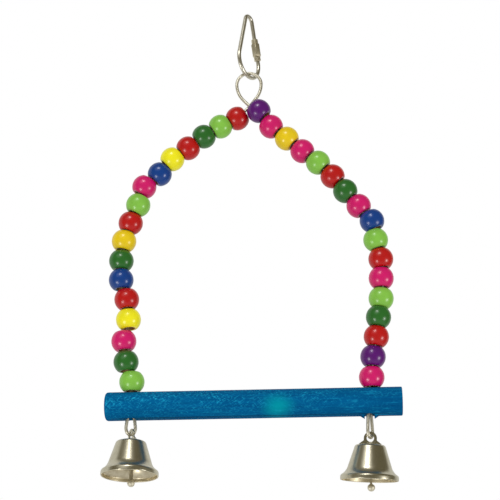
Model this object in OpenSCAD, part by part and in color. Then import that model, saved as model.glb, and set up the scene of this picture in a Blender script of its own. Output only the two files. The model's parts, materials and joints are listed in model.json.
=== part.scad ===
// Bird swing: a bright wire arch threaded with lacquered beads over a dyed dowel perch,
// with a bell under each end of the perch, hung on a small pear-shaped quick link.
// The origin is the inside of the link's top bend, where a hook or cage bar carries it.
// +X runs along the perch, -Y is the front, +Z is up.

/* [Quick link] */
// Diameter of the link's wire
link_wire_d = 1.9; // [1.7:0.1:2.2]
// Clear height inside the link
link_inner_h = 30.3; // [30:0.1:32]
// Radius of the narrow top bend, to the middle of the wire
link_top_r = 2.85; // [2.7:0.05:3.2]
// Radius of the wide bottom bend, to the middle of the wire
link_bottom_r = 8.3; // [7.8:0.1:8.6]
// Turn of the link about its long axis, degrees
link_turn = 60; // [55:1:66]
// Gap in the link's leg that the sleeve closes
link_gap = 6.5; // [5:0.1:7]

/* [Link sleeve] */
// Length of the sleeve
sleeve_len = 10.7; // [10:0.1:11.4]
// Diameter of the round collars
sleeve_collar_d = 3.2; // [2.9:0.1:3.6]
// Width of the hexagon across its flats
sleeve_flats = 3.9; // [3.6:0.1:4.4]
// Length of the hexagon
sleeve_hex_len = 6; // [5:0.1:7]
// Bare leg between the bottom bend and the sleeve
sleeve_low = 1.1; // [0.8:0.1:1.6]
// Stub of the lower leg inside the sleeve
sleeve_hold = 1.3; // [1:0.1:1.8]
// Width of the grooves beside the hexagon
sleeve_groove = 0.35; // [0.2:0.05:0.6]

/* [Frame wire] */
// Diameter of the frame wire
wire_d = 1.5; // [1.3:0.05:1.7]
// Radius of the teardrop eye, to the middle of the wire
eye_r = 5.8; // [5.4:0.1:6]
// Radius of the eye's two sides, to the middle of the wire
eye_side_r = 12.5; // [10:0.5:13]
// Height of the teardrop eye, from its top to the crossing
eye_h = 17.2; // [17:0.2:19]
// Height of the arch, from the top of the perch to the crossing
arch_h = 137.7; // [130:0.5:158]
// Distance between the two holes in the perch
hole_spacing = 105.2; // [98:0.2:112]
// How far the middle of the two holes lies to the right of the teardrop eye
hole_shift = -0.45; // [-1:0.05:1]
// Slope of the left arm's upper run below level, degrees
left_run_slope = 33; // [30:1:38]
// Slope of the right arm's upper run below level, degrees
right_run_slope = 44; // [40:1:46]
// Slope of the left arm's lower run, past upright at 90 degrees
left_leg_slope = 96; // [94:0.5:98]
// Slope of the right arm's lower run, past upright at 90 degrees
right_leg_slope = 99.5; // [97:0.5:101]
// Radius of the left arm's reverse bend below the crossing
left_neck_r = 20; // [18:1:26]
// Radius of the right arm's reverse bend below the crossing
right_neck_r = 22; // [18:1:26]
// Radius of the left arm's shoulder
left_shoulder_r = 72; // [66:1:76]
// Radius of the right arm's shoulder
right_shoulder_r = 66; // [62:1:72]

/* [Perch] */
// Diameter of the dowel
perch_d = 12.7; // [11:0.1:15]
// Length of the dowel
perch_len = 131; // [124:0.5:145]
// How far the dowel's middle lies to the right of the arch's middle
perch_shift = 1.1; // [-2:0.1:2]
// Diameter of the two holes across the dowel
perch_bore = 5.2; // [5:0.1:5.6]
// Rounding of the dowel's ends
perch_end_round = 0.8; // [0.4:0.1:2]

/* [Eyes under the perch] */
// Radius of the bottom of each eye, to the middle of the wire
low_eye_r = 1.85; // [1.8:0.05:2.1]
// Radius of the sides of each eye, to the middle of the wire
low_side_r = 4.3; // [3.8:0.1:5]
// How far the bottom arc reaches up either side, degrees
low_arc = 64; // [60:1:66]
// How far the left eye reaches below the perch
left_eye_drop = 7.1; // [6.6:0.1:9]
// How far the right eye reaches below the perch
right_eye_drop = 10.3; // [8:0.1:12]
// Turn of the left eye about its upright axis, degrees
left_eye_turn = 18; // [14:1:24]
// Turn of the right eye about its upright axis, degrees
right_eye_turn = 60; // [50:1:70]
// Where the left bell hangs, up the right side of its eye's bottom arc, degrees
left_hook_side = 12; // [4:1:14]
// Length of the eye's tail tucked into the perch
eye_tail = 5; // [4:0.2:6]

/* [Beads] */
// Diameter of a bead
bead_d = 11.3; // [10.6:0.1:12]
// Diameter of a bead's bore
bead_bore = 5; // [4.6:0.1:5.4]
// Mean slack between one bead and the next along the wire
row_slack = 0.68; // [0.64:0.01:0.9]
// Bare wire between the crossing and the left row
left_row_start = 2.7; // [2.4:0.1:5]
// Bare wire between the crossing and the right row
right_row_start = 1.2; // [1.1:0.1:3]

/* [Bells] */
// Outer diameter of a bell's mouth
mouth_d = 25.4; // [24:0.1:27]
// Height of a bell, from crown to rim
bell_h = 15.4; // [15:0.1:17]
// Thickness of the plate
bell_plate = 0.6; // [0.4:0.05:0.8]
// Radius between the crown and the wall
shoulder_r = 1.4; // [1.1:0.1:2]
// Height of the upright lip at the mouth
lip_h = 1.4; // [1:0.1:2]
// Radius of the bend above the lip
lip_r = 1.2; // [1:0.1:1.6]
// Radius of the hollow flare
flare_r = 6; // [5.6:0.2:7]
// Lean of the wall from upright, degrees
wall_lean = 17.7; // [16:0.1:19]
// Lean of the flare where it meets the lip's bend, degrees
flare_lean = 58; // [54:1:64]
// Fore and aft lean of the left bell as it hangs, degrees
left_bell_lean = -3; // [-5:0.5:3]
// Fore and aft lean of the right bell as it hangs, degrees
right_bell_lean = 6; // [-3:0.5:6]
// Sideways lean of the left bell, its mouth to the left, degrees
left_bell_tilt = 1; // [-2:0.5:2]
// Sideways lean of the right bell, its mouth to the left, degrees
right_bell_tilt = 3; // [-3:0.5:3]

/* [Bell hangers] */
// Thickness of the hanger's plate
hanger_t = 0.75; // [0.6:0.05:0.8]
// Diameter of the hole for the wire eye
hanger_hole = 3.2; // [3.1:0.05:3.4]
// Radius of the rounded head
hanger_head_r = 2.85; // [2.7:0.05:3.1]
// Height of that hole above the crown
hanger_h = 2.9; // [2.8:0.1:3.4]
// Width of the foot on the crown
hanger_foot_w = 9.8; // [9:0.1:10.6]
// Width of the foot at its top
hanger_foot_top_w = 7.8; // [7:0.1:8.6]
// Height of the foot
hanger_foot_h = 1.3; // [1:0.1:1.6]
// Width of the tail that goes through the crown
tail_w = 4; // [3.6:0.1:4.4]
// Diameter of the tail's hole for the clapper's ring
tail_hole = 1.7; // [1.65:0.05:1.8]
// How far that hole lies below the top of the crown
tail_hole_drop = 2.6; // [2.4:0.1:3]
// How far the left hanger's tail lies off the hanger's middle
left_tail_shift = 1; // [-1:0.1:1.2]
// Reach of each clinched ear under the crown
ear_reach = 1.6; // [1.2:0.1:2]
// Thickness of each clinched ear
ear_t = 0.5; // [0.4:0.05:0.6]
// Turn of the left hanger about its upright axis, degrees
left_hanger_turn = -57; // [-64:1:-54]
// Turn of the right hanger about its upright axis, degrees
right_hanger_turn = 0; // [-5:1:5]

/* [Clappers] */
// Radius of the clapper's ring, to the middle of its wire
ring_r = 1.25; // [1.2:0.05:1.5]
// Diameter of the ring's wire
ring_wire_d = 0.8; // [0.6:0.05:0.9]
// Diameter of each of the shank's two legs
leg_d = 1; // [0.8:0.05:1.1]
// Diameter of the ball
ball_d = 3.3; // [2.8:0.1:4]
// How far the ball's middle hangs below the bell's rim
ball_below = 3.2; // [2.5:0.1:4]

/* [Fits] */
// Clearance all round the link's wire in the sleeve
sleeve_clearance = 0.08; // [0.05:0.01:0.1]
// Gap left between pieces that hang or rest on each other
rest_gap = 0.08; // [0.05:0.01:0.12]
// Gap left where the left hanger's hole rides on the curve of its wire eye
left_hook_gap = 0.56; // [0.54:0.01:0.62]
// Gap left where the right hanger's hole rides on the curve of its wire eye
right_hook_gap = 0.54; // [0.5:0.01:0.58]
// Gap left where the clapper's ring rides in the tail's hole
ring_gap = 0.24; // [0.22:0.01:0.26]
// Clearance round the hanger's tail in the crown's slot
slot_clearance = 0.08; // [0.05:0.01:0.12]

/* [Hidden] */
$fn = 48;

// One overrun for every cut that passes a surface
cut = 1;
// Steps of arc on the bell's profile, degrees
arc_step = 6;
// Swell of the wire where one stretch runs into the next, as a share of its radius
joint_share = 1.01;
// Half the spacing of the clapper's two legs, as a share of a leg's diameter
leg_spread_share = 0.44;

// Colours of the lacquers and metals
RED = [0.75, 0.07, 0.07];
LIME = [0.47, 0.78, 0.22];
GREEN = [0.1, 0.42, 0.15];
LEMON = [0.95, 0.9, 0.1];
GOLD = [0.93, 0.78, 0.03];
BLUE = [0.07, 0.26, 0.58];
PINK = [0.84, 0.1, 0.43];
PURPLE = [0.33, 0.12, 0.43];
DYED = [0, 0.37, 0.57];
NICKEL = [0.78, 0.76, 0.7];
STEEL = [0.72, 0.71, 0.68];

// Beads of each arm from the crossing down, left arm first
bead_colours = [
    [RED, LIME, GREEN, RED, LEMON, BLUE, PINK, LIME, RED,
        GOLD, GREEN, BLUE, RED, LEMON, PINK, GREEN, LIME],
    [PURPLE, PINK, GOLD, PINK, LIME, RED, GREEN, PINK, BLUE,
        LIME, RED, PINK, LIME, GREEN, RED, PURPLE, PINK]
];
// How far each bead sits off the wire towards the arch's outside, in shares of the play
sideways_shares = [
    [-0.25, 0.15, 0.15, -0.15, 0, -0.35, 1, -0.35, -0.25, 0.2, 0.25, 0.25, -0.9, -0.9, 1, 0.85, -0.35],
    [0.5, -0.55, -0.15, 0.05, 0.35, 0.1, -0.6, -0.15, 1, -0.15, 0.05, -0.35, 0, 0, 0.15, 0, 0.45]
];
// How far each bead sits off the wire away from the other arm's wire, in the same shares
depth_shares = [
    [0.9, 0.2, 0, 0.3, -0.2, 0.2, 0, -0.3, 0.2, 0, 0.3, -0.2, 0, 0, 0, 0, 0.2],
    [0.87, 0.2, 0, -0.2, 0.3, 0, 0.2, -0.2, 0, 0.3, 0, 0.2, -0.3, 0.2, 0, -0.2, 0]
];
// How far each bead stands from its even place along the wire, in shares of the row's slack
along_shares = [
    [0.4, -0.1, -0.3, -0.5, -0.7, -0.9, -1.15, -1.35, -1.5, -1.6, -1.6, -1.5, -1.35, -1, -0.4, 0, 0],
    [0, 0.1, 0.4, 0.8, 1.1, 1.3, 1.45, 1.6, 1.55, 1.4, 1.3, 1.15, 1.05, 0.6, 0.1, -0.1, 0]
];
// How far the last two beads stand up from the wire's lean, in shares of that lean
upright_shares = [0.5, 1];
bead_count = len(bead_colours[0]);

// Radii of the wires
link_wire_r = link_wire_d / 2;
wire_r = wire_d / 2;
ring_wire_r = ring_wire_d / 2;

// The link's two bends and the leg between them
link_top_z = -(link_top_r - link_wire_r);
link_bottom_z = -(link_inner_h - (link_bottom_r - link_wire_r));
link_centres = link_top_z - link_bottom_z;
link_flare = asin((link_bottom_r - link_top_r) / link_centres);
leg_len = link_centres * cos(link_flare);
// Places along the leg, measured up from the bottom bend
stub_end = sleeve_low + sleeve_hold;
thread_end = stub_end + link_gap;
sleeve_travel = thread_end - sleeve_low;

// The teardrop eye rests in the link's bottom bend
eye_top_z = -link_inner_h + rest_gap + wire_r;
eye_z = eye_top_z - eye_r;
cross_z = eye_top_z - eye_h;
// Its sides meet the crossing at this lean from upright
eye_inset = eye_side_r - eye_r;
eye_lean = atan((eye_z - cross_z) / eye_inset) - acos(eye_side_r / norm([eye_inset, eye_z - cross_z]));
// At the crossing the two strands pass side by side
cross_y = wire_r + rest_gap / 2;

// The perch hangs below the arch
perch_top_z = cross_z - arch_h;
perch_z = perch_top_z - perch_d / 2;
perch_bottom_z = perch_top_z - perch_d;
hole_x = [hole_spacing / 2 - hole_shift, hole_spacing / 2 + hole_shift];
arm_lean = asin(cross_y / arch_h);

// Each arm is a reverse bend, a straight run, a shoulder and a straight leg, left arm first.
// A slope is measured below level, so a path at slope a runs along run(a), and out(a) points
// from it towards the outside of the arch.
start_slope = 90 - eye_lean;
run_slope = [left_run_slope, right_run_slope];
leg_slope = [left_leg_slope, right_leg_slope];
neck_r = [left_neck_r, right_neck_r];
bend_r = [left_shoulder_r, right_shoulder_r];
function run(a) = [cos(a), -sin(a)];
function out(a) = [sin(a), cos(a)];
function arc_len(r, a) = r * a * PI / 180;
function neck_centre(s) = [0, cross_z] + neck_r[s] * out(start_slope);
function neck_end(s) = neck_centre(s) - neck_r[s] * out(run_slope[s]);
// The two straight lengths close the arm on its hole in the perch
function reach(s) = [hole_x[s], perch_top_z] - neck_end(s)
    - bend_r[s] * (out(leg_slope[s]) - out(run_slope[s]));
function cross2(a, b) = a.x * b.y - a.y * b.x;
function run_len(s) = cross2(reach(s), run(leg_slope[s])) / cross2(run(run_slope[s]), run(leg_slope[s]));
function leg_run_len(s) = cross2(run(run_slope[s]), reach(s)) / cross2(run(run_slope[s]), run(leg_slope[s]));
function run_end(s) = neck_end(s) + run_len(s) * run(run_slope[s]);
function bend_centre(s) = run_end(s) - bend_r[s] * out(run_slope[s]);
function bend_end(s) = bend_centre(s) + bend_r[s] * out(leg_slope[s]);
// Lengths along the arm at the end of each stretch
function neck_len(s) = arc_len(neck_r[s], start_slope - run_slope[s]);
function to_bend(s) = neck_len(s) + run_len(s);
function to_leg(s) = to_bend(s) + arc_len(bend_r[s], leg_slope[s] - run_slope[s]);
function arm_len(s) = to_leg(s) + leg_run_len(s);
// Slope and place at a length t along arm s
function slope_at(s, t) =
    t < neck_len(s) ? start_slope - (start_slope - run_slope[s]) * t / neck_len(s) :
    t < to_bend(s) ? run_slope[s] :
    t < to_leg(s) ? run_slope[s] + (t - to_bend(s)) / bend_r[s] * 180 / PI :
    leg_slope[s];
function place_at(s, t) =
    t < neck_len(s) ? neck_centre(s) - neck_r[s] * out(slope_at(s, t)) :
    t < to_bend(s) ? neck_end(s) + (t - neck_len(s)) * run(run_slope[s]) :
    t < to_leg(s) ? bend_centre(s) + bend_r[s] * out(slope_at(s, t)) :
    bend_end(s) + (t - to_leg(s)) * run(leg_slope[s]);

// The rows of beads fill each arm down to the perch
row_start = [left_row_start, right_row_start];
function pitch(s) = (arm_len(s) - rest_gap - row_start[s]) / bead_count;
bead_len = min(pitch(0), pitch(1)) - row_slack;
bead_bore_r = bead_bore / 2;
// What the wire's bend leaves of the play between bead and wire
bead_slack = bead_bore_r - wire_r - bead_len * bead_len / (8 * min(bend_r)) - rest_gap;

// Eyes under the perch, left first
eye_drop = [left_eye_drop, right_eye_drop];
eye_turn = [left_eye_turn, right_eye_turn];
function low_eye_z(s) = perch_bottom_z - eye_drop[s] + wire_r + low_eye_r;
// Each side's arc has its middle beyond the eye's, and its leg runs up from it to the arm's end
low_inset = (low_side_r - low_eye_r) * sin(low_arc);
low_side_z = (low_side_r - low_eye_r) * cos(low_arc);
function low_apex(s) = perch_top_z - low_eye_z(s);
function low_eye_lean(s) = asin(low_side_r / norm([low_inset, low_apex(s) - low_side_z]))
    - atan(low_inset / (low_apex(s) - low_side_z));
function low_leg_x(s) = low_side_r * cos(low_eye_lean(s)) - low_inset;
function low_leg_z(s) = low_side_r * sin(low_eye_lean(s)) + low_side_z;
function tail_len(s) = (perch_bottom_z + eye_tail - low_eye_z(s) - low_leg_z(s)) / cos(low_eye_lean(s));
// The bell's hanger turns about this point of the eye's bottom arc
hook_side = [left_hook_side, 0];
function hook_x(s) = (s == 0 ? -hole_x[0] : hole_x[1]) + low_eye_r * sin(hook_side[s]);
function hook_z(s) = low_eye_z(s) - low_eye_r * cos(hook_side[s]);

// The hanger and the crown below the hook point
hanger_turn = [left_hanger_turn, right_hanger_turn];
bell_lean = [left_bell_lean, right_bell_lean];
bell_tilt = [left_bell_tilt, right_bell_tilt];
hook_gap = [left_hook_gap, right_hook_gap];
tail_x = [left_tail_shift, 0];
function hanger_hole_z(s) = -(hanger_hole / 2 - wire_r - hook_gap[s]);
function crown_z(s) = hanger_hole_z(s) - hanger_h;
function tail_hole_z(s) = crown_z(s) - tail_hole_drop;

// The clapper's ring rests on the lower edge of the tail's hole
function ring_hook_z(s) = tail_hole_z(s) - (tail_hole / 2 - ring_wire_r - ring_gap);
function ball_z(s) = crown_z(s) - bell_h - ball_below;
// A point given on a hanger's plate: turned with the plate, then carried by its bell's lean and tilt
function turned(s, p) = [p.x * cos(hanger_turn[s]), p.x * sin(hanger_turn[s]), p.y];
function forward(s, p) =
    [
        p.x,
        p.y * cos(bell_lean[s]) - p.z * sin(bell_lean[s]),
        p.y * sin(bell_lean[s]) + p.z * cos(bell_lean[s])
    ];
function tilted(s, p) =
    [
        p.x * cos(bell_tilt[s]) + p.z * sin(bell_tilt[s]),
        p.y,
        p.z * cos(bell_tilt[s]) - p.x * sin(bell_tilt[s])
    ];
function leaned(s, p) = tilted(s, forward(s, turned(s, p)));

// The bell's profile, built up from the mouth: lip bend, flare and wall share their tangents
function lean_out(a) = [cos(a), sin(a)];
mouth_r = mouth_d / 2;
lip_centre = [mouth_r - lip_r, -(bell_h - lip_h)];
flare_centre = lip_centre + (lip_r + flare_r) * lean_out(flare_lean);
wall_foot = flare_centre - flare_r * lean_out(wall_lean);
shoulder_z = shoulder_r * (sin(wall_lean) - 1);
shoulder_x = wall_foot.x - (shoulder_z - wall_foot.y) * tan(wall_lean) - shoulder_r * cos(wall_lean);
// One face of the plate, a depth in below the outer one, from the crown to the rim
function bell_face(in) = [
    for (a = [90:-arc_step:wall_lean]) [shoulder_x, -shoulder_r] + (shoulder_r - in) * lean_out(a),
    [shoulder_x, -shoulder_r] + (shoulder_r - in) * lean_out(wall_lean),
    for (a = [wall_lean:arc_step:flare_lean]) flare_centre - (flare_r + in) * lean_out(a),
    for (a = [flare_lean:-arc_step:0]) lip_centre + (lip_r - in) * lean_out(a),
    [mouth_r - in, -bell_h]
];
function backwards(v) = [for (i = [len(v) - 1:-1:0]) v[i]];
bell_outline = concat([[0, 0]], bell_face(0), backwards(bell_face(bell_plate)), [[0, -bell_plate]]);
// The slot through the crown for the hanger's tail
slot_w = tail_w + 2 * slot_clearance;
slot_t = hanger_t + 2 * slot_clearance;

// A straight rod of radius r from point a to point b
module rod(a, b, r) {
    d = b - a;
    translate(a)
        rotate([0, acos(d.z / norm(d)), atan2(d.y, d.x)])
            cylinder(h = norm(d), r = r);
}

// The joint of two stretches of wire of radius r, at point p
module joint(p, r) {
    translate(p) sphere(r = r * joint_share);
}

// A bend of round wire in the XZ plane, about centre c, from angle a0 through a sweep
module bend(c, bend_radius, a0, sweep, r) {
    translate([c.x, 0, c.y])
        rotate([90, 0, 0])
            rotate([0, 0, a0])
                rotate_extrude(angle = sweep, $fn = 96)
                    translate([bend_radius, 0])
                        circle(r = r);
}

// Puts children drawn in an arm's own plane where arm s stands, left arm 0 and right arm 1
module on_arm(s) {
    mirror([s == 0 ? 1 : 0, 0, 0])
        translate([0, 0, perch_top_z])
            rotate([s == 0 ? -arm_lean : arm_lean, 0, 0])
                translate([0, 0, -perch_top_z])
                    children();
}

// Puts children drawn along the link's right leg, with z up the leg from the bottom bend
module on_leg() {
    rotate([0, 0, link_turn])
        translate([link_bottom_r * cos(link_flare), 0, link_bottom_z + link_bottom_r * sin(link_flare)])
            rotate([0, -link_flare, 0])
                children();
}

// Open pear-shaped loop: two bends, a whole left leg, and a right leg with the gap in it
module quick_link() {
    left_foot = [-link_bottom_r * cos(link_flare), 0, link_bottom_z + link_bottom_r * sin(link_flare)];
    left_head = [-link_top_r * cos(link_flare), 0, link_top_z + link_top_r * sin(link_flare)];
    color(STEEL) {
        rotate([0, 0, link_turn]) {
            bend([0, link_top_z], link_top_r, link_flare, 180 - 2 * link_flare, link_wire_r);
            bend([0, link_bottom_z], link_bottom_r, 180 - link_flare, 180 + 2 * link_flare, link_wire_r);
            rod(left_foot, left_head, link_wire_r);
            joint(left_foot, link_wire_r);
            joint(left_head, link_wire_r);
        }
        on_leg() {
            joint([0, 0, 0], link_wire_r);
            joint([0, 0, leg_len], link_wire_r);
            cylinder(h = stub_end, r = link_wire_r);
            translate([0, 0, thread_end])
                cylinder(h = leg_len - thread_end, r = link_wire_r);
        }
    }
}

// Screw sleeve: a hexagon between two round collars, bored for the leg
module link_sleeve() {
    collar_r = sleeve_collar_d / 2;
    side = (sleeve_len - sleeve_hex_len) / 2;
    color(NICKEL)
        on_leg()
            translate([0, 0, sleeve_low])
                difference() {
                    union() {
                        cylinder(h = sleeve_len, r = (collar_r + link_wire_r) / 2);
                        cylinder(h = side - sleeve_groove, r = collar_r);
                        translate([0, 0, side + sleeve_hex_len + sleeve_groove])
                            cylinder(h = side - sleeve_groove, r = collar_r);
                        translate([0, 0, side])
                            cylinder(h = sleeve_hex_len, d = sleeve_flats / cos(30), $fn = 6);
                    }
                    translate([0, 0, -cut])
                        cylinder(h = sleeve_len + 2 * cut, r = link_wire_r + sleeve_clearance);
                }
}

// One arm of the frame wire, from the crossing to the top of the perch
module arm(s) {
    neck_foot = [neck_end(s).x, 0, neck_end(s).y];
    run_foot = [run_end(s).x, 0, run_end(s).y];
    bend_foot = [bend_end(s).x, 0, bend_end(s).y];
    on_arm(s) {
        bend(neck_centre(s), neck_r[s], 270 - start_slope, start_slope - run_slope[s], wire_r);
        joint(neck_foot, wire_r);
        rod(neck_foot, run_foot, wire_r);
        joint(run_foot, wire_r);
        bend(bend_centre(s), bend_r[s], 90 - leg_slope[s], leg_slope[s] - run_slope[s], wire_r);
        joint(bend_foot, wire_r);
        rod(bend_foot, [hole_x[s], 0, perch_top_z], wire_r);
    }
}

// The teardrop eye at the top, whose strands part front and back at the crossing
module top_eye() {
    bend([0, eye_z], eye_r, 0, 180, wire_r);
    bend([-eye_inset, eye_z], eye_side_r, -eye_lean, eye_lean, wire_r);
    bend([eye_inset, eye_z], eye_side_r, 180, eye_lean, wire_r);
    for (side = [-1, 1]) {
        foot = [side * (eye_side_r * cos(eye_lean) - eye_inset), 0, eye_z - eye_side_r * sin(eye_lean)];
        strand = [0, side * cross_y, cross_z];
        rod(foot, strand, wire_r);
        joint([side * eye_r, 0, eye_z], wire_r);
        joint(foot, wire_r);
        joint(strand, wire_r);
    }
}

// The eye under one end of the perch, with its tail tucked back into the hole
module low_eye(s) {
    lean = low_eye_lean(s);
    inner = s == 0 ? 1 : -1;
    translate([-inner * hole_x[s], 0, low_eye_z(s)])
        rotate([0, 0, eye_turn[s]]) {
            bend([0, 0], low_eye_r, 270 - low_arc, 2 * low_arc, wire_r);
            bend([-low_inset, low_side_z], low_side_r, low_arc - 90, 90 - low_arc + lean, wire_r);
            bend([low_inset, low_side_z], low_side_r, 180 - lean, 90 - low_arc + lean, wire_r);
            for (side = [-1, 1]) {
                joint([side * low_eye_r * sin(low_arc), 0, -low_eye_r * cos(low_arc)], wire_r);
                joint([side * low_leg_x(s), 0, low_leg_z(s)], wire_r);
            }
            rod([inner * low_leg_x(s), 0, low_leg_z(s)], [0, 0, low_apex(s)], wire_r);
            joint([0, 0, low_apex(s)], wire_r);
            mirror([inner == 1 ? 1 : 0, 0, 0])
                translate([low_leg_x(s), 0, low_leg_z(s)])
                    rotate([0, -lean, 0])
                        cylinder(h = tail_len(s), r = wire_r);
        }
}

// One continuous wire: eye, arm, teardrop eye, arm, eye
module frame_wire() {
    color(STEEL) {
        top_eye();
        for (s = [0, 1]) {
            arm(s);
            low_eye(s);
        }
    }
}

// Dowel with rounded ends and two cross holes
module perch() {
    half = perch_len / 2;
    color(DYED)
        difference() {
            translate([perch_shift, 0, perch_z])
                rotate([0, 90, 0])
                    rotate_extrude()
                        difference() {
                            union() {
                                translate([0, -half])
                                    square([perch_d / 2 - perch_end_round, perch_len]);
                                translate([0, -half + perch_end_round])
                                    square([perch_d / 2, perch_len - 2 * perch_end_round]);
                                for (y = [-half + perch_end_round, half - perch_end_round])
                                    translate([perch_d / 2 - perch_end_round, y])
                                        circle(r = perch_end_round);
                            }
                            translate([-perch_d, -perch_len])
                                square([perch_d, 2 * perch_len]);
                        }
            for (x = [-hole_x[0], hole_x[1]])
                translate([x, 0, perch_bottom_z - cut])
                    cylinder(h = perch_d + 2 * cut, d = perch_bore);
        }
}

// Bead n of arm s, counted from the crossing down: a ball cut flat at both ends of its bore
module bead(s, n) {
    t = row_start[s] + (n - 0.5) * pitch(s) + row_slack * along_shares[s][n - 1];
    a = slope_at(s, t);
    last = n - bead_count + len(upright_shares) - 1;
    axis = last < 0 ? a : a - (a - 90) * upright_shares[last];
    off = bead_slack * sideways_shares[s][n - 1] * out(a);
    p = place_at(s, t) + off;
    away = s == 0 ? 1 : -1;
    color(bead_colours[s][n - 1])
        on_arm(s)
            translate([p.x, away * bead_slack * depth_shares[s][n - 1], p.y])
                rotate([0, 90 + axis, 0])
                    rotate_extrude($fn = 64)
                        intersection() {
                            circle(d = bead_d);
                            translate([bead_bore_r, -bead_len / 2])
                                square([bead_d, bead_len]);
                        }
}

// Puts children drawn below the origin under hook s, with the lean and tilt that its bell hangs at
module on_hook(s) {
    translate([hook_x(s), 0, hook_z(s)])
        rotate([bell_lean[s], bell_tilt[s], 0])
            children();
}

// Thin flared bell with a slot through its crown
module bell(s) {
    color(NICKEL)
        on_hook(s)
            translate([0, 0, crown_z(s)])
                difference() {
                    rotate_extrude($fn = 96)
                        polygon(bell_outline);
                    rotate([0, 0, hanger_turn[s]])
                        translate([tail_x[s], 0, 0])
                            cube([slot_w, slot_t, 2 * cut + bell_plate], center = true);
                }
}

// Stamped hanger: round head and foot above the crown, tail and clinched ears below it
module hanger(s) {
    hole_z = hanger_hole_z(s);
    tail_z = tail_hole_z(s);
    foot_z = crown_z(s) + rest_gap / 2;
    foot_top_z = foot_z + hanger_foot_h;
    ear_z = crown_z(s) - bell_plate - rest_gap / 2;
    color(STEEL)
        on_hook(s)
            rotate([0, 0, hanger_turn[s]]) {
                rotate([90, 0, 0])
                    translate([0, 0, -hanger_t / 2])
                        difference() {
                            linear_extrude(height = hanger_t)
                                union() {
                                    translate([0, hole_z]) circle(r = hanger_head_r);
                                    translate([-hanger_head_r, foot_top_z])
                                        square([2 * hanger_head_r, hole_z - foot_top_z]);
                                    polygon([
                                        [-hanger_foot_top_w / 2, foot_top_z],
                                        [hanger_foot_top_w / 2, foot_top_z],
                                        [hanger_foot_w / 2, foot_z],
                                        [-hanger_foot_w / 2, foot_z]
                                    ]);
                                    translate([tail_x[s] - tail_w / 2, tail_z])
                                        square([tail_w, foot_top_z - tail_z]);
                                    translate([tail_x[s], tail_z]) circle(r = tail_w / 2);
                                }
                            translate([0, hole_z, -cut])
                                cylinder(h = hanger_t + 2 * cut, d = hanger_hole);
                            translate([tail_x[s], tail_z, -cut])
                                cylinder(h = hanger_t + 2 * cut, d = tail_hole);
                        }
                for (ear = [0, 1])
                    translate([tail_x[s], 0, ear_z - ear_t])
                        rotate([0, 0, ear * 180])
                            cube([tail_w / 2, ear_reach + hanger_t / 2, ear_t]);
            }
}

// Clapper: a ring through the hanger's tail, a doubled shank and a ball, hanging plumb
module clapper(s) {
    drop = ring_hook_z(s) - ball_z(s);
    color(STEEL)
        translate([hook_x(s), 0, hook_z(s)])
            translate(leaned(s, [tail_x[s], ring_hook_z(s)]))
                rotate([0, 0, hanger_turn[s]]) {
                    translate([0, 0, -ring_r])
                        rotate([0, 90, 0])
                            rotate_extrude()
                                translate([ring_r, 0])
                                    circle(r = ring_wire_r);
                    for (side = [-1, 1])
                        translate([0, side * leg_d * leg_spread_share, -drop])
                            cylinder(h = drop - 2 * ring_r, d = leg_d);
                    translate([0, 0, -drop])
                        sphere(d = ball_d);
                }
}

function bead_name(arm_name, n) = str("bead_", arm_name, n < 10 ? "_0" : "_", n);

quick_link();
link_sleeve();
frame_wire();
perch();
for (n = [1:bead_count]) bead(0, n);
for (n = [1:bead_count]) bead(1, n);
bell(0);  // bell_left
bell(1);  // bell_right
hanger(0);  // hanger_left
hanger(1);  // hanger_right
clapper(0);  // clapper_left
clapper(1);  // clapper_right
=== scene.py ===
import json
import math

import bmesh
import bpy
from mathutils import Matrix, Vector


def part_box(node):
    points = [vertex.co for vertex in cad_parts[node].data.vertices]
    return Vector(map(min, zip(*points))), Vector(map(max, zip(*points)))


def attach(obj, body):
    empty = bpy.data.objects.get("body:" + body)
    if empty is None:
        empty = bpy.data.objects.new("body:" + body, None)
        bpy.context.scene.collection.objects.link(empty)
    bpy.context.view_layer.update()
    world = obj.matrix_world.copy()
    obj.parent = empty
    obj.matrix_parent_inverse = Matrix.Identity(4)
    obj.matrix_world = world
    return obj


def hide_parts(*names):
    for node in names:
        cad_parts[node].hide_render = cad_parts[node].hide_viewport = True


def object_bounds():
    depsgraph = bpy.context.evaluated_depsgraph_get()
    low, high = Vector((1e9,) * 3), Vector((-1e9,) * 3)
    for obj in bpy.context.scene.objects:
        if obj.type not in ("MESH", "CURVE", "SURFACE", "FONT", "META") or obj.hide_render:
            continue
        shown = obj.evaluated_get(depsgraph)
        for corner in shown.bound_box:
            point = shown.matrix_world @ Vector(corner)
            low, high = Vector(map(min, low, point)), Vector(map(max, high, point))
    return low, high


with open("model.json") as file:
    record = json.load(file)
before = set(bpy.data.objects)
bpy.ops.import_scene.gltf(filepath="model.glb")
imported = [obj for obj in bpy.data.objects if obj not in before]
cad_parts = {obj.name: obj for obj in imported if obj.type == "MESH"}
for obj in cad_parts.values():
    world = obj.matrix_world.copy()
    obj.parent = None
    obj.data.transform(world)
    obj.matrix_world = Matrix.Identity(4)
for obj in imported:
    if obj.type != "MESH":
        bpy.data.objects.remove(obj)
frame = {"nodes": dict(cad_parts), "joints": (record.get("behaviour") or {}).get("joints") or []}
cad_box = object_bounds()
joints = {joint["name"]: joint for joint in frame["joints"]}
mm = 0.001


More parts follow.
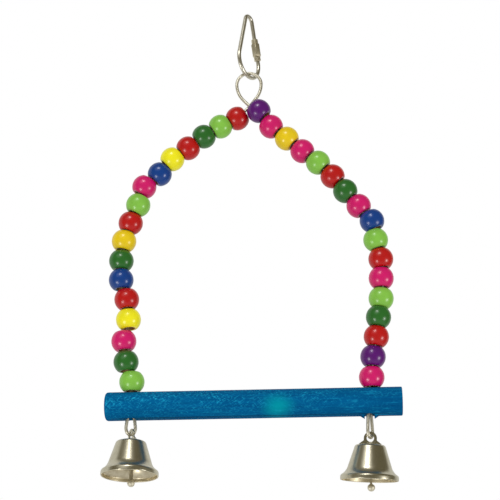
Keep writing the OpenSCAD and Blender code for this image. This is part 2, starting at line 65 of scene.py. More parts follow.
# Setting: the swing hangs before a white background, high over a plain pale floor, and is seen
# a little from below. A key lamp stands high in front beside a pale panel, and two weaker lamps
# stand low to the left and the right. Behind the camera the studio is dark.
class Shade:
    """What a node gives out. Sums written on it become Math nodes."""

    def __init__(self, recipe, socket):
        self.recipe, self.socket = recipe, socket

    def math(self, operation, *values):
        return self.recipe.add("ShaderNodeMath", {"operation": operation}, dict(enumerate(values)))

    def __add__(self, other):
        return self.math("ADD", self, other)

    def __sub__(self, other):
        return self.math("SUBTRACT", self, other)

    def __rsub__(self, other):
        return self.math("SUBTRACT", other, self)

    def __mul__(self, other):
        return self.math("MULTIPLY", self, other)

    __radd__ = __add__
    __rmul__ = __mul__


class Recipe:
    """The nodes of one finish, or of the world."""

    def __init__(self, owner):
        owner.use_nodes = True
        self.tree = owner.node_tree

    def feed(self, socket, value):
        """Links a node's output to an input, or sets the input to a constant."""
        if isinstance(value, Shade):
            self.tree.links.new(value.socket, socket)
        elif socket.type == "RGBA":
            socket.default_value = (*value, 1)
        else:
            socket.default_value = value

    def add(self, kind, settings=None, inputs=None, out=0):
        """Adds a node, feeds it, and gives one of its outputs."""
        node = self.tree.nodes.new(kind)
        for name, value in (settings or {}).items():
            setattr(node, name, value)
        for name, value in (inputs or {}).items():
            self.feed(node.inputs[name], value)
        return Shade(self, node.outputs[out])

    def blend(self, share, first, second):
        """Colour first, with second laid over it by share."""
        settings = {"data_type": "RGBA"}
        return self.add("ShaderNodeMix", settings, {0: share, 6: first, 7: second}, out=2)

    def step(self, value, low, high):
        """0 below low, 1 above high, and a soft rise between them."""
        settings = {"interpolation_type": "SMOOTHSTEP"}
        inputs = {"Value": value, "From Min": low, "From Max": high}
        return self.add("ShaderNodeMapRange", settings, inputs)

    def vector(self, operation, first, second=(0, 0, 0), out="Vector"):
        inputs = {0: first, 1: second}
        return self.add("ShaderNodeVectorMath", {"operation": operation}, inputs, out)


def paint(red, green, blue):
    """A colour read off as three bytes, as light."""
    shares = (byte / 255 for byte in (red, green, blue))
    return tuple(((c + 0.055) / 1.055) ** 2.4 if c > 0.04045 else c / 12.92 for c in shares)


def facing(azimuth, elevation):
    """The direction at an azimuth from the front towards the right, and an elevation."""
    a, e = math.radians(azimuth), math.radians(elevation)
    return Vector((math.sin(a) * math.cos(e), -math.cos(a) * math.cos(e), math.sin(e)))


middle = (cad_box[0] + cad_box[1]) / 2
camera_place = Vector((39.06, -621.34, -335.58)) * mm
camera_azimuth, camera_elevation, camera_roll = 3.59, -19.2, math.radians(-0.3)
focal_px, picture_px, sensor_w = 1441, 500, 36
back = facing(camera_azimuth, camera_elevation)
level = Vector((0, 0, 1)).cross(back).normalized()
rise = back.cross(level)
across = math.cos(camera_roll) * level + math.sin(camera_roll) * rise
upward = math.cos(camera_roll) * rise - math.sin(camera_roll) * level
camera_data = bpy.data.cameras.new("camera")
camera_data.sensor_width = sensor_w
camera_data.lens = focal_px / picture_px * sensor_w
camera = bpy.data.objects.new("camera", camera_data)
camera_turn = Matrix((across, upward, back)).transposed().to_4x4()
camera.matrix_world = Matrix.Translation(camera_place) @ camera_turn
bpy.context.scene.collection.objects.link(camera)
bpy.context.scene.camera = camera
bpy.context.scene.view_settings.view_transform = "Standard"

# Each lamp's azimuth, elevation, width and height in degrees, and how bright it is
lamps = {
    "lamp_key": (-8, 40, 10, 10, 27),
    "lamp_low_left": (-41, -35, 13, 13, 17),
    "lamp_low_right": (62, -23, 13, 13, 18),
}
lamp_distance = 0.75
for name, (azimuth, elevation, width, height, radiance) in lamps.items():
    lamp = bpy.data.lights.new(name, "AREA")
    lamp.shape = "RECTANGLE"
    lamp.size = 2 * lamp_distance * math.tan(math.radians(width / 2))
    lamp.size_y = 2 * lamp_distance * math.tan(math.radians(height / 2))
    lamp.energy = radiance * math.pi * lamp.size * lamp.size_y
    stand = bpy.data.objects.new(name, lamp)
    aim = facing(azimuth, elevation)
    stand.location = middle + lamp_distance * aim
    stand.rotation_euler = aim.to_track_quat("Z", "Y").to_euler()
    bpy.context.scene.collection.objects.link(stand)

ambient_level = 0.63
dark_azimuth, dark_edge, dark_blur = 20, -0.16, 0.09
panel_place, panel_edge, panel_blur = (-20, 33), 0.92, 0.05
pale_panel, white = (1.05, 1.05, 1.02), (1, 1, 1)
dark_room, light_room = (0.145, 0.13, 0.082), (0.75, 0.755, 0.735)
world = bpy.data.worlds.new("studio")
bpy.context.scene.world = world
world.cycles.sampling_method = "NONE"
studio = Recipe(world)
camera_ray = studio.add("ShaderNodeLightPath", out="Is Camera Ray")
diffuse_ray = studio.add("ShaderNodeLightPath", out="Is Diffuse Ray")
towards = studio.add("ShaderNodeTexCoord", out="Generated")
in_front = studio.vector("DOT_PRODUCT", towards, facing(dark_azimuth, 0), out="Value")
darkness = studio.step(in_front, dark_edge - dark_blur, dark_edge + dark_blur)
room = studio.blend(darkness, light_room, dark_room)
on_panel = studio.vector("DOT_PRODUCT", towards, facing(*panel_place), out="Value")
room = studio.blend(studio.step(on_panel, panel_edge, panel_edge + panel_blur), room, pale_panel)
background = studio.tree.nodes["Background"]
room_share = (1 - camera_ray) * (1 - diffuse_ray)
studio.feed(background.inputs["Color"], studio.blend(room_share, white, room))
studio.feed(background.inputs["Strength"], 1 - diffuse_ray * (1 - ambient_level))

floor_drop, floor_r = 1.1, 1.4
floor_grey, floor_glow, fade_from = (0.9, 0.9, 0.89), 0.6, 0.3
bm = bmesh.new()
bmesh.ops.create_circle(bm, cap_ends=True, segments=96, radius=floor_r)
bmesh.ops.translate(bm, verts=bm.verts, vec=(0, 0, cad_box[0].z - floor_drop))
floor_mesh = bpy.data.meshes.new("floor")
bm.to_mesh(floor_mesh)
bm.free()
floor = bpy.data.objects.new("floor", floor_mesh)
bpy.context.scene.collection.objects.link(floor)
floor_paint = bpy.data.materials.new("floor_paint")
floor_mesh.materials.append(floor_paint)
floor_paint.cycles.emission_sampling = "NONE"
ground = Recipe(floor_paint)
spot = ground.add("ShaderNodeTexCoord", out="Object")
spread = ground.vector("LENGTH", ground.vector("MULTIPLY", spot, (1, 1, 0)), out="Value")
bright = ground.add("ShaderNodeEmission", inputs={"Color": white, "Strength": 1})
board = ground.add("ShaderNodeBsdfDiffuse", inputs={"Color": floor_grey})
seen = ground.add("ShaderNodeLightPath", out="Is Camera Ray")
glow = ground.step(spread, floor_r * fade_from, floor_r) * (1 - floor_glow) + floor_glow
both = ground.add("ShaderNodeMixShader", inputs={0: seen * glow, 1: board, 2: bright})
ground.feed(ground.tree.nodes["Material Output"].inputs["Surface"], both)


# Quick link: an open pear-shaped loop of bright plated steel wire, bent round two pins. Its right
# leg has a gap that the sleeve closes, and a rolled thread that the sleeve runs on. The swing
# hangs by the link's top bend.
class Finish(Recipe):
    """A material: the nodes that make the colour, gloss and relief of one real surface."""

    def __init__(self, name, **constants):
        self.material = bpy.data.materials.new(name)
        super().__init__(self.material)
        self.shader = self.tree.nodes["Principled BSDF"]
        for socket, value in constants.items():
            self.give(socket.replace("_", " ").title().replace("Ior", "IOR"), value)

    def give(self, socket, value):
        self.feed(self.shader.inputs[socket], value)

    def place(self, scale=(1, 1, 1), turn=(0, 0, 0)):
        """Where a point of the swing is, in millimetres, stretched by scale and turned."""
        turned = tuple(math.radians(a) for a in turn)
        at = self.add("ShaderNodeTexCoord", out="Object")
        at = self.add("ShaderNodeMapping", inputs={"Vector": at, "Rotation": turned})
        return self.vector("MULTIPLY", at, tuple(s / mm for s in scale))

    def own(self, scale=(1, 1, 1)):
        """Where a point of a piece is on the piece itself, in millimetres."""
        at = self.add("ShaderNodeAttribute", {"attribute_name": "own"}, out="Vector")
        return self.vector("MULTIPLY", at, scale)

    def noise(self, at, detail=3, roughness=0.5):
        inputs = {"Vector": at, "Scale": 1, "Detail": detail, "Roughness": roughness}
        return self.add("ShaderNodeTexNoise", inputs=inputs)

    def relief(self, height, depth):
        """Raises the surface by depth millimetres where height is 1."""
        inputs = {"Distance": depth * mm, "Height": height}
        self.give("Normal", self.add("ShaderNodeBump", inputs=inputs))


def plating(name, tone, dull_tone, roughness, patch_scale=0.5):
    """Bright metal plating, a little duller in cloudy patches, with fine drawing marks."""
    marks_gloss = 0.04
    finish = Finish(name, metallic=1)
    cloud = finish.step(finish.noise(finish.place((patch_scale,) * 3), detail=4), 0.4, 0.7)
    marks = finish.noise(finish.place((4, 4, 0.5)), detail=3)
    finish.give("Base Color", finish.blend(cloud * 0.5 + marks * 0.2, tone, dull_tone))
    finish.give("Roughness", cloud * 0.05 + marks * marks_gloss + (roughness - marks_gloss))
    return finish


thread_pitch, thread_depth, thread_half, thread_fade = 0.6, 0.12, 5, 0.3
right_leg_from, right_leg_to = 1, 1.5
sleeve_axis = Vector(joints["sleeve_slide"]["axis"]).normalized()
sleeve_rest = (sum(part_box("link_sleeve"), Vector()) / 2).dot(sleeve_axis) / mm
link_finish = plating("zinc_plating", paint(220, 215, 200), paint(194, 188, 170), 0.36)
up_leg = link_finish.vector("DOT_PRODUCT", link_finish.place(), sleeve_axis, out="Value")
up_leg = up_leg - sleeve_rest
to_right = link_finish.vector("DOT_PRODUCT", link_finish.place(), (1, 0, 0), out="Value")
past_end = link_finish.step(up_leg.math("ABSOLUTE", up_leg), thread_half, thread_half + thread_fade)
threaded = link_finish.step(to_right, right_leg_from, right_leg_to) * (1 - past_end)
turns = up_leg * (math.tau / thread_pitch)
link_finish.relief(turns.math("SINE", turns) * threaded, thread_depth)
link = frame["nodes"]["quick_link"]
link.data.materials.clear()
link.data.materials.append(link_finish.material)


# Link sleeve: a small screw nut on the link's leg, turned from bar with a hexagon between two
# round collars, satin zinc plated. Screwed down, it bridges the gap; slid up, it opens the link.
def reach(node, direction):
    """How far a CAD node reaches along a direction, least and most, in metres."""
    spans = [vertex.co.dot(direction) for vertex in frame["nodes"][node].data.vertices]
    return min(spans), max(spans)


def draw(bm, start, *moves):
    """Draws a profile in XZ. A move is a point to draw to, or an arc's centre and degrees."""
    vertex = bm.verts.new((start[0], 0, start[1]))
    for move in moves:
        if len(move) == 2:
            following = bm.verts.new((move[0], 0, move[1]))
            bm.edges.new((vertex, following))
        else:
            swept = bmesh.ops.spin(
                bm,
                geom=[vertex],
                cent=(move[0], 0, move[1]),
                axis=(0, 1, 0),
                angle=math.radians(-move[2]),
                steps=max(2, round(abs(move[2]) / arc_step)),
            )
            following = next(e for e in swept["geom_last"] if isinstance(e, bmesh.types.BMVert))
        vertex = following


def turn(bm, steps):
    """Turns the drawn profile round Z into a closed solid."""
    bmesh.ops.spin(
        bm,
        geom=bm.verts[:] + bm.edges[:],
        cent=(0, 0, 0),
        axis=(0, 0, 1),
        angle=math.tau,
        steps=steps,
        use_merge=True,
    )
    bmesh.ops.remove_doubles(bm, verts=bm.verts, dist=merge_gap)
    bmesh.ops.recalc_face_normals(bm, faces=bm.faces)


def bar(radius, length, steps):
    """A new straight bar along Z about the origin, with so many flats."""
    bm = bmesh.new()
    bmesh.ops.create_cone(
        bm, cap_ends=True, segments=steps, radius1=radius, radius2=radius, depth=length
    )
    return bm


def ease(bm, edges, width, steps):
    """Rounds edges off by a width, in so many steps."""
    bmesh.ops.bevel(
        bm,
        geom=edges,
        offset=width,
        segments=steps,
        profile=0.5,
        affect="EDGES",
        material=-1,
    )


def piece(name, bm, finish, placed=None):
    """Makes a mesh worked in millimetres into a piece at its place in the swing."""
    own = bm.verts.layers.float_vector.new("own")
    for vertex in bm.verts:
        vertex[own] = vertex.co
    bmesh.ops.transform(bm, matrix=(placed or Matrix()) @ Matrix.Scale(mm, 4), verts=bm.verts)
    mesh = bpy.data.meshes.new(name)
    bm.to_mesh(mesh)
    bm.free()
    mesh.shade_smooth()
    mesh.set_sharp_from_angle(angle=math.radians(crisp_edge))
    made = bpy.data.objects.new(name, mesh)
    bpy.context.scene.collection.objects.link(made)
    mesh.materials.append(finish.material)
    return made


def work(made, tool, operation):
    """Joins tool to a piece, or cuts it away, and takes tool off the bench."""
    step = made.modifiers.new(operation, "BOOLEAN")
    step.object, step.operation, step.solver = tool, operation, "EXACT"
    bpy.context.view_layer.update()
    finished = made.evaluated_get(bpy.context.evaluated_depsgraph_get())
    worked = bpy.data.meshes.new_from_object(finished)
    made.modifiers.clear()
    made.data = worked
    bpy.data.objects.remove(tool)


def mount(made, body, slot, *nodes):
    """Puts a finished piece on its body, in the place of the CAD nodes. The slot is not used."""
    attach(made, body)
    if nodes:
        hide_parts(*nodes)


# Degrees in one step of an arc and at which an edge is sharp, and how far apart points are one
arc_step, crisp_edge, merge_gap = 6, 38, 1e-4
sleeve_side = sleeve_axis.cross(Vector((0, 0, 1))).normalized()
sleeve_low, sleeve_high = reach("link_sleeve", sleeve_axis)
sleeve_len = (sleeve_high - sleeve_low) / mm
sleeve_centre = sum(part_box("link_sleeve"), Vector()) / 2
sleeve_centre += ((sleeve_low + sleeve_high) / 2 - sleeve_centre.dot(sleeve_axis)) * sleeve_axis
collar_r, collar_round, neck_r, groove, sleeve_bore_r = 1.6, 0.25, 1.27, 0.35, 1.03
hex_flats, hex_len, hex_round = 3.9, 6, 0.22
sleeve_finish = plating("satin_zinc", paint(226, 217, 192), paint(190, 181, 156), 0.45, 1.2)
sleeve_turn = Matrix((sleeve_side.cross(sleeve_axis), sleeve_side, sleeve_axis)).transposed()
sleeve_place = Matrix.Translation(sleeve_centre) @ sleeve_turn.to_4x4()
half, hex_half = sleeve_len / 2, hex_len / 2
bm = bmesh.new()
draw(
    bm,
    (sleeve_bore_r, -half),
    (collar_r - collar_round, -half),
    (collar_r - collar_round, -half + collar_round, 90),
    (collar_r, -hex_half - groove),
    (neck_r, -hex_half - groove),
    (neck_r, hex_half + groove),
    (collar_r, hex_half + groove),
    (collar_r, half - collar_round),
    (collar_r - collar_round, half - collar_round, 90),
    (sleeve_bore_r, half),
    (sleeve_bore_r, -half),
)
turn(bm, 48)
sleeve = piece("sleeve", bm, sleeve_finish, sleeve_place)
bm = bar(hex_flats / math.sqrt(3), hex_len, 6)
ease(bm, bm.edges[:], hex_round, 2)
hexagon = piece("hexagon", bm, sleeve_finish, sleeve_place)
core = piece("core", bar(sleeve_bore_r, 2 * sleeve_len, 32), sleeve_finish, sleeve_place)
work(hexagon, core, "DIFFERENCE")
work(sleeve, hexagon, "UNION")
mount(sleeve, "sleeve", "link_steel", "link_sleeve")


# Frame wire: one length of bright spring wire, bent into the teardrop eye at the top, the two
# arms that carry the beads, and the small eyes under the perch that carry the bells.
wire_finish = plating("bright_wire", paint(224, 219, 203), paint(198, 192, 172), 0.5)
wire = frame["nodes"]["frame_wire"]
wire.data.materials.clear()
wire.data.materials.append(wire_finish.material)


# Perch: a turned wooden dowel dyed blue right through, sanded smooth, with pale flecks of grain
# that took less dye and a turquoise blot. Its colour is also painted paler towards the top, with
# its flecks stronger there, as painted light. Two holes are drilled across it for the wire, and the
# drill has torn splinters at the lower right one.
def polar(x, z, radius, degrees):
    """The point at a radius and an angle from another point."""
    angle = math.radians(degrees)
    return x + radius * math.cos(angle), z + radius * math.sin(angle)


def tip(bm, degrees, axis):
    """Turns all that has been made so far about an axis through the origin."""
    turned = Matrix.Rotation(math.radians(degrees), 3, axis)
    bmesh.ops.rotate(bm, cent=(0, 0, 0), matrix=turned, verts=bm.verts)


def shift(bm, *by):
    """Moves all that has been made so far."""
    bmesh.ops.translate(bm, vec=by, verts=bm.verts)


dye_deep, dye_mid = paint(0, 66, 112), paint(0, 96, 148)
dye_fleck, dye_blot = paint(30, 170, 208), paint(0, 146, 158)
perch_low, perch_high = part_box("perch")
perch_centre = (perch_low + perch_high) / 2
perch_r = (perch_high.z - perch_low.z) / 2 / mm
perch_half = (perch_high.x - perch_low.x) / 2 / mm
left_round, right_round, hole_r, overrun = 1.3, 0.5, 2.6, 3
blot_x, blot_y, blot_drop, blot_spread = 12.2, -4.5, 2.6, (0.13, 0.1, 0.16)
fleck_slant, cross_slant, fleck_edge, grain_edge = 38, -42, (0.54, 0.66), (0.54, 0.7)
dyed = Finish("dyed_wood", roughness=0.65, specular_ior_level=0.02)
along = dyed.place((1 / perch_half, 0, 0))
left_share = dyed.step(along, 0.9, -1)
height = dyed.vector("DOT_PRODUCT", dyed.place(), (0, 0, 1), out="Value")
# Painted light: a share that rises towards the top of the perch, where the lamps light it most
painted_light_top = dyed.step(height, perch_low.z / mm, perch_high.z / mm)
streak = dyed.noise(dyed.place((0.07, 0.9, 0.9)), detail=5, roughness=0.65)
grain = dyed.noise(dyed.place((0.14, 1.4, 1.4)), detail=3, roughness=0.6)
grain = dyed.step(grain, *grain_edge)
fleck = dyed.noise(dyed.place((0.5, 1.8, 1.8), (0, fleck_slant, 0)), detail=2)
fleck = dyed.step(fleck, *fleck_edge)
cross_fleck = dyed.noise(dyed.place((0.55, 1.9, 1.9), (0, cross_slant, 0)), detail=2)
cross_fleck = dyed.step(cross_fleck, *fleck_edge)
patchy = dyed.noise(dyed.place((0.05, 0.16, 0.2)), detail=2)
blot_at = (blot_x, blot_y, perch_centre.z / mm - blot_drop)
from_blot = dyed.vector("SUBTRACT", dyed.place(), blot_at)
blot_far = dyed.vector("LENGTH", dyed.vector("MULTIPLY", from_blot, blot_spread), out="Value")
blot = 1 - dyed.step(blot_far + patchy * 0.6, 0.2, 1.6)
# Paler along the grain streaks and towards the left end, and paler towards the top as painted light
paler_grain_and_lit_top = dyed.step(streak, 0.3, 0.7) * 0.5 + painted_light_top * 0.2 + left_share * 0.3
tone = dyed.blend(blot * 0.85, dyed.blend(paler_grain_and_lit_top, dye_deep, dye_mid), dye_blot)
# Pale flecks of grain, painted stronger towards the top as painted light
flecks_and_lit_top = (fleck + cross_fleck) * left_share * (painted_light_top * 0.7 + 0.3)
flecks_and_lit_top = flecks_and_lit_top + grain * (1 - left_share) * 0.45
dyed.give("Base Color", dyed.blend(flecks_and_lit_top * dyed.step(patchy, 0.2, 0.6) * 0.9, tone, dye_fleck))
dyed.relief(streak * 0.6 + fleck * 0.4, 0.02)
bm = bmesh.new()
draw(
    bm,
    (0, -perch_half),
    (perch_r - left_round, -perch_half),
    (perch_r - left_round, -perch_half + left_round, 90),
    (perch_r, perch_half - right_round),
    (perch_r - right_round, perch_half - right_round, 90),
    (0, perch_half),
)
turn(bm, 96)
tip(bm, 90, "Y")
perch = piece("dowel", bm, dyed, Matrix.Translation(perch_centre))
for side in ("left", "right"):
    hole_x = joints[f"bell_{side}_swing"]["pos_m"][0]
    hole_place = Matrix.Translation((hole_x, 0, perch_centre.z))
    work(perch, piece("drill", bar(hole_r, overrun * perch_r, 48), dyed, hole_place), "DIFFERENCE")
# Each torn splinter's angle round the hole, its root's radius and its length
burrs = ((163, 0.9, 2), (202, 0.7, 1.6), (-24, 0.8, 1.8), (14, 0.95, 2.1))
burr_lean, burr_tip_r = 35, 0.12
burr_x = joints["bell_right_swing"]["pos_m"][0] / mm
for angle, burr_r, burr_len in burrs:
    bm = bmesh.new()
    bmesh.ops.create_cone(
        bm, cap_ends=True, segments=12, radius1=burr_tip_r, radius2=burr_r, depth=burr_len
    )
    shift(bm, 0, 0, -burr_len / 6)
    tip(bm, burr_lean, "Y")
    tip(bm, angle, "Z")
    at_x, at_y = polar(burr_x, 0, hole_r + burr_r / 2, angle)
    shift(bm, at_x, at_y, perch_centre.z / mm - math.sqrt(perch_r**2 - at_y**2))
    work(perch, piece("burr", bm, dyed), "UNION")
mount(perch, "swing", "perch_wood", "perch")


# Beads: seventeen turned wooden balls on each arm, cut flat at both ends of a loose bore and
# dipped in gloss lacquer, which is thin and chipped on the rims of the bore.
lacquers = {
    "red": paint(180, 7, 4),
    "lime": paint(127, 188, 67),
    "dark_green": paint(38, 101, 33),
    "lemon": paint(235, 226, 10),
    "golden": paint(226, 194, 0),
    "blue": paint(2, 57, 129),
    "pink": paint(203, 9, 98),
    "purple": paint(86, 8, 106),
}
# From the top of the arch down
bead_colours = {
    "left": "red lime dark_green red lemon blue pink lime red "
    "golden dark_green blue red lemon pink dark_green lime",
    "right": "purple pink golden pink lime red dark_green pink blue "
    "lime red pink lime dark_green red purple pink",
}
bead_r = (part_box("bead_left_01")[1].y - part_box("bead_left_01")[0].y) / 2 / mm
bead_bore_r, bore_round, rim_round = 2.5, 0.3, 0.35
bare_wood = paint(168, 128, 84)
bare_to, lacquered_from, chip_edge, chip_depth = 0.02, 0.12, (0.86, 0.94), 1.6
lacquer_gloss, lacquer_relief, dark_share = 0.26, 0.008, 0.86


def lacquer(name, colour):
    """Gloss lacquer of one colour, cloudy, and worn to the wood in and about the bore."""
    finish = Finish(f"lacquer_{name}")
    cloud = finish.step(finish.noise(finish.place((0.3, 0.3, 0.3)), detail=2), 0.35, 0.7)
    from_axis = finish.vector("LENGTH", finish.own((1, 1, 0)), out="Value")
    ragged = finish.noise(finish.place((1.1, 1.1, 1.1)), detail=3) * chip_depth
    ragged = ragged - (from_axis - bead_bore_r)
    bored = 1 - finish.step(from_axis, bead_bore_r + bare_to, bead_bore_r + lacquered_from)
    wear = bored.math("MAXIMUM", finish.step(ragged, *chip_edge), bored)
    coat = finish.blend(cloud * 0.5, colour, tuple(c * dark_share for c in colour))
    finish.give("Base Color", finish.blend(wear, coat, bare_wood))
    finish.give("Roughness", wear * 0.5 + cloud * 0.03 + lacquer_gloss)
    swell = finish.noise(finish.place((0.5, 0.5, 0.5)), detail=1)
    finish.relief(swell - wear * 0.3, lacquer_relief)
    return finish


def rings(bm, height, radius):
    """The edges of a turned piece that run round it at a height on either side and a radius."""

    def there(at):
        off_height, off_radius = abs(at.z) - height, at.to_2d().length - radius
        return abs(off_height) < merge_gap and abs(off_radius) < merge_gap

    return [edge for edge in bm.edges if all(there(vertex.co) for vertex in edge.verts)]


bead_axis = Vector(joints["bead_left_01_spin"]["axis"]).normalized()
bead_low, bead_high = reach("bead_left_01", bead_axis)
bead_half = (bead_high - bead_low) / 2 / mm
cap = math.degrees(math.asin(bead_half / bead_r))
rim_r = bead_r * math.cos(math.radians(cap))
bm = bmesh.new()
draw(
    bm,
    (bead_bore_r, -bead_half),
    (rim_r, -bead_half),
    (0, 0, 2 * cap),
    (bead_bore_r, bead_half),
    (bead_bore_r, -bead_half),
)
turn(bm, 56)
for radius, rounding in ((rim_r, rim_round), (bead_bore_r, bore_round)):
    ease(bm, rings(bm, bead_half, radius), rounding, 3)
blank = bpy.data.meshes.new("blank")
bm.to_mesh(blank)
bm.free()
finishes = {name: lacquer(name, colour) for name, colour in lacquers.items()}
for side, colours in bead_colours.items():
    for number, colour in enumerate(colours.split(), 1):
        node = f"bead_{side}_{number:02}"
        centre = sum(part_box(node), Vector()) / 2
        strung = Vector(joints[f"{node}_spin"]["axis"]).to_track_quat("Z", "Y").to_matrix()
        placed = Matrix.Translation(centre) @ strung.to_4x4()
        bm = bmesh.new()
        bm.from_mesh(blank)
        bead = piece(f"ball_{side}_{number:02}", bm, finishes[colour], placed)
        mount(bead, node, f"bead_{colour}", node)


# Bells: thin steel cups pressed to a flared mouth, nickel plated and polished. Under each end of
# the perch one hangs from a stamped hanger, whose tail goes through the crown.
plate_t, shoulder_round, lip_h, lip_round, flare_round = 0.6, 1.4, 1.4, 1.2, 6
wall_lean, flare_lean, underside = 17.7, 58, -0.9
lathe_relief = 0.004
bell_leans = {"left": (-3, 1), "right": (6, 3)}
nickel = Finish("polished_nickel", metallic=1)
lathe = nickel.noise(nickel.own((0.2, 0.2, 2.5)), detail=2)
cloud = nickel.step(nickel.noise(nickel.place((0.4, 0.4, 0.4)), detail=4), 0.4, 0.75)
nickel.give("Base Color", nickel.blend(cloud * 0.5, paint(206, 200, 178), paint(184, 176, 152)))
nickel.give("Roughness", lathe * 0.05 + cloud * 0.05 + 0.26)
nickel.relief(lathe, lathe_relief)
inner_nickel = Finish("dull_inside", metallic=1)
lathe = inner_nickel.noise(inner_nickel.own((0.3, 0.3, 6)), detail=3)
cloud = inner_nickel.noise(inner_nickel.place((0.5, 0.5, 0.5)), detail=4)
cloud = inner_nickel.step(cloud, 0.35, 0.7)
tone = inner_nickel.blend(cloud * 0.7, paint(218, 208, 182), paint(194, 183, 154))
inner_nickel.give("Base Color", tone)
inner_nickel.give("Roughness", cloud * 0.08 + lathe * 0.06 + 0.36)
inner_nickel.relief(lathe, lathe_relief)


def stand_of(side):
    """How a bell leans, tilts and is turned, worked out from the hinge that it swings on."""
    lean, tilt = (math.radians(a) for a in bell_leans[side])
    hung = Matrix.Rotation(tilt, 3, "Y") @ Matrix.Rotation(lean, 3, "X")
    axis = hung.inverted() @ Vector(joints[f"bell_{side}_swing"]["axis"])
    return (hung @ Matrix.Rotation(-math.asin(axis.x), 3, "Z")).to_4x4()


for side in ("left", "right"):
    swing_place = Vector(joints[f"bell_{side}_swing"]["pos_m"])
    stand = stand_of(side)
    plumb = stand.to_3x3() @ Vector((0, 0, 1))
    rim, crown = reach(f"bell_{side}", plumb)
    crown_up = crown - swing_place.dot(plumb)
    bell_h = (crown - rim) / mm
    mouth_low, mouth_high = reach(f"bell_{side}", stand.to_3x3() @ Vector((1, 0, 0)))
    mouth_r = (mouth_high - mouth_low) / 2 / mm
    lip_x, lip_z = mouth_r - lip_round, lip_h - bell_h
    flare_x, flare_z = polar(lip_x, lip_z, lip_round + flare_round, flare_lean)
    foot_x, foot_z = polar(flare_x, flare_z, -flare_round, wall_lean)
    slant = math.radians(wall_lean)
    top_z = shoulder_round * (math.sin(slant) - 1)
    top_x = foot_x - (top_z - foot_z) * math.tan(slant) - shoulder_round * math.cos(slant)
    bm = bmesh.new()
    draw(
        bm,
        (0, 0),
        (top_x, 0),
        (top_x, -shoulder_round, wall_lean - 90),
        (foot_x, foot_z),
        (flare_x, flare_z, flare_lean - wall_lean),
        (lip_x, lip_z, -flare_lean),
        (mouth_r, plate_t / 2 - bell_h),
        (mouth_r - plate_t / 2, plate_t / 2 - bell_h, -180),
        (mouth_r - plate_t, lip_z),
        (lip_x, lip_z, flare_lean),
        (flare_x, flare_z, wall_lean - flare_lean),
        polar(top_x, -shoulder_round, shoulder_round - plate_t, wall_lean),
        (top_x, -shoulder_round, 90 - wall_lean),
        (0, -plate_t),
    )
    turn(bm, 128)
    for face in bm.faces:
        at = face.calc_center_median()
        outward = face.normal.dot(Vector((at.x, at.y, 0)))
        face.material_index = int(outward < 0 or face.normal.z < underside)
    placed = Matrix.Translation(swing_place + crown_up * plumb) @ stand
    bell = piece(f"cup_{side}", bm, nickel, placed)
    bell.data.materials.append(inner_nickel.material)
    mount(bell, f"bell_{side}", "bell_nickel", f"bell_{side}")


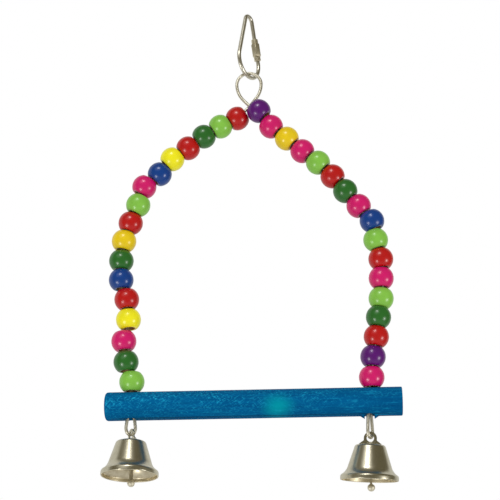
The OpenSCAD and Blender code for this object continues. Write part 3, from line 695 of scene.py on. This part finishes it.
# Hangers: small tabs stamped from steel plate and plated. The wire's eye passes through the hole
# in the head, and the tail below the crown is clinched inside the bell and carries the clapper.
hanger_t, hanger_round, crown_gap = 0.75, 0.14, 0.04
head_r, head_hole_r, foot_w, foot_edge, foot_h = 2.85, 1.6, 9.8, 0.35, 1.9
tail_w, tail_hole_r, tail_drop, ear_reach, ear_t = 4, 0.85, 2.6, 1.6, 0.5
crease = 50
stamped = plating("stamped_steel", paint(206, 201, 180), paint(176, 170, 146), 0.3, 1)
for side in ("left", "right"):
    body = f"bell_{side}"
    swing_place = Vector(joints[f"{body}_swing"]["pos_m"])
    stand = stand_of(side)
    plumb = stand.to_3x3() @ Vector((0, 0, 1))
    crown_z = (reach(body, plumb)[1] - swing_place.dot(plumb)) / mm
    foot_z, tail_z = crown_z + crown_gap, crown_z - tail_drop
    foot_top_z = foot_z + foot_h
    clapper_place = Vector(joints[f"clapper_{side}_swing"]["pos_m"])
    tail_x = (clapper_place - swing_place).dot(stand.to_3x3() @ Vector((1, 0, 0))) / mm
    placed = Matrix.Translation(swing_place) @ stand
    bm = bmesh.new()
    draw(
        bm,
        (-head_r, 0),
        (-head_r, foot_top_z),
        (-foot_w / 2, foot_z + foot_edge),
        (-foot_w / 2, foot_z),
        (tail_x - tail_w / 2, foot_z),
        (tail_x - tail_w / 2, tail_z),
        (tail_x, tail_z, 180),
        (tail_x + tail_w / 2, foot_z),
        (foot_w / 2, foot_z),
        (foot_w / 2, foot_z + foot_edge),
        (head_r, foot_top_z),
        (head_r, 0),
        (0, 0, 180),
    )
    bmesh.ops.remove_doubles(bm, verts=bm.verts, dist=merge_gap)
    plate = bmesh.ops.contextual_create(bm, geom=bm.edges[:])["faces"]
    shift(bm, 0, -hanger_t / 2, 0)
    thick = bmesh.ops.extrude_face_region(bm, geom=plate)
    raised = [e for e in thick["geom"] if isinstance(e, bmesh.types.BMVert)]
    bmesh.ops.translate(bm, vec=(0, hanger_t, 0), verts=raised)
    bmesh.ops.recalc_face_normals(bm, faces=bm.faces)
    hanger = piece(f"tab_{side}", bm, stamped, placed)
    for x, z, radius in ((0, 0, head_hole_r), (tail_x, tail_z, tail_hole_r)):
        bm = bar(radius, overrun * hanger_t, 40)
        tip(bm, 90, "X")
        shift(bm, x, 0, z)
        work(hanger, piece("punch", bm, stamped, placed), "DIFFERENCE")
    for way in (-1, 1):
        bm = bmesh.new()
        bmesh.ops.create_cube(bm, size=1)
        ear_len = ear_reach + hanger_t / 2
        ear_top = crown_z - plate_t - crown_gap
        bmesh.ops.scale(bm, vec=(tail_w / 2, ear_len, ear_t), verts=bm.verts)
        shift(bm, tail_x + way * tail_w / 4, way * ear_len / 2, ear_top - ear_t / 2)
        work(hanger, piece("ear", bm, stamped, placed), "UNION")
    soften = hanger.modifiers.new("soften", "BEVEL")
    soften.width, soften.segments, soften.limit_method = hanger_round * mm, 2, "ANGLE"
    soften.angle_limit = math.radians(crease)
    mount(hanger, body, "wire_steel", f"hanger_{side}")


# Clappers: a doubled wire closed to a ring at the top, which hangs in the hanger's tail, and
# pinched into a small ball below the bell's mouth.
ring_r, ring_wire_r, leg_r, leg_spread, ball_r = 1.25, 0.4, 0.5, 0.88, 1.65
clapper_finish = plating("clapper_wire", paint(238, 232, 212), paint(204, 197, 174), 0.6, 1)
for side in ("left", "right"):
    body = f"clapper_{side}"
    joint = joints[f"{body}_swing"]
    hook = Vector(joint["pos_m"])
    axis = Vector(joint["axis"])
    placed = Matrix.Translation(hook) @ Matrix.Rotation(-math.asin(axis.x), 4, "Z")
    drop = (hook.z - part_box(body)[0].z) / mm - ball_r
    bm = bmesh.new()
    bmesh.ops.create_circle(bm, segments=20, radius=ring_wire_r)
    tip(bm, 90, "X")
    shift(bm, ring_r, 0, 0)
    turn(bm, 48)
    tip(bm, 90, "Y")
    shift(bm, 0, 0, -ring_r)
    clapper = piece(f"striker_{side}", bm, clapper_finish, placed)
    shank = drop - 2 * ring_r
    for way in (-1, 1):
        bm = bar(leg_r, shank, 20)
        shift(bm, 0, way * leg_r * leg_spread, shank / 2 - drop)
        work(clapper, piece("leg", bm, clapper_finish, placed), "UNION")
    bm = bmesh.new()
    bmesh.ops.create_uvsphere(bm, u_segments=40, v_segments=24, radius=ball_r)
    shift(bm, 0, 0, -drop)
    work(clapper, piece("ball", bm, clapper_finish, placed), "UNION")
    mount(clapper, body, "wire_steel", body)
